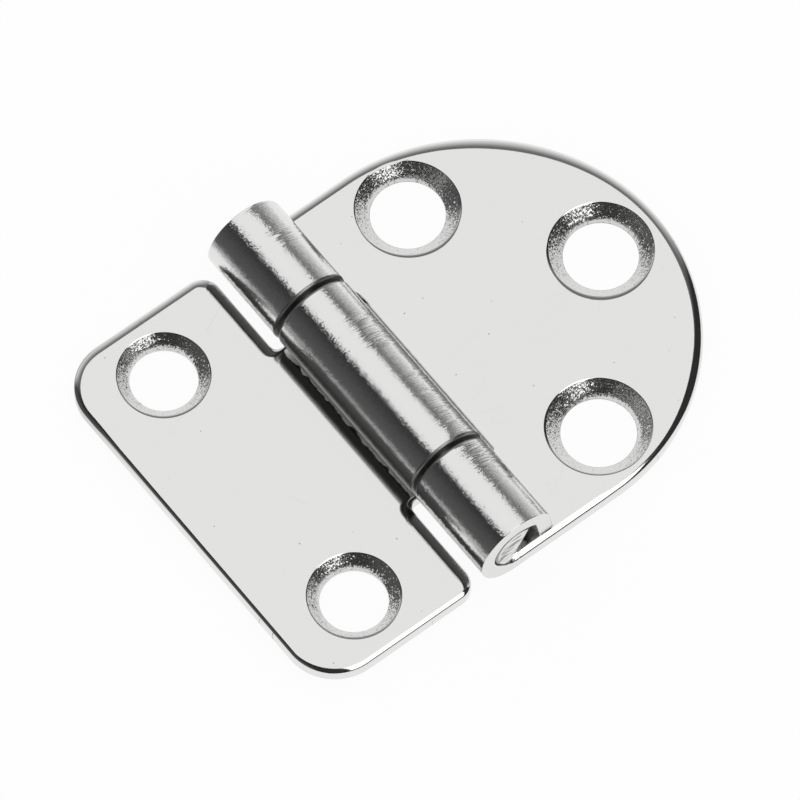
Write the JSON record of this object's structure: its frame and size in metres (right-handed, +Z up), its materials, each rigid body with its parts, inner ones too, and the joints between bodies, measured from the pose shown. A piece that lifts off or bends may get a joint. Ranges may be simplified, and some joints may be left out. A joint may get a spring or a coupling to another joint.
{
  "type": "half-round leaf hinge",
  "caption": "Open flat hinge of polished sheet: one half-round leaf and one square leaf with countersunk screw holes, rolled round a plain pin.",
  "frame": {"origin": "on the plane of the leaves' undersides, straight below the pin's axis at its middle", "axes": "+X towards the half-round leaf, +Y along the pin, +Z up, away from the surface the leaves are screwed to"},
  "size_m": [0.0531, 0.0402, 0.008],
  "materials": {
    "polished_stainless": "mirror polished stainless sheet",
    "pin_stainless": "drawn stainless wire with cropped ends"
  },
  "bodies": {
    "round_side": {"round_leaf": "polished_stainless", "pin": "pin_stainless"},
    "square_side": {"square_leaf": "polished_stainless"}
  },
  "joints": [
    {"name": "leaf_fold", "type": "hinge", "parent": "round_side", "child": "square_side", "pos_m": [0, 0, 0.004], "axis": [0, 1, 0], "range_deg": [-92, 180]}
  ]
}
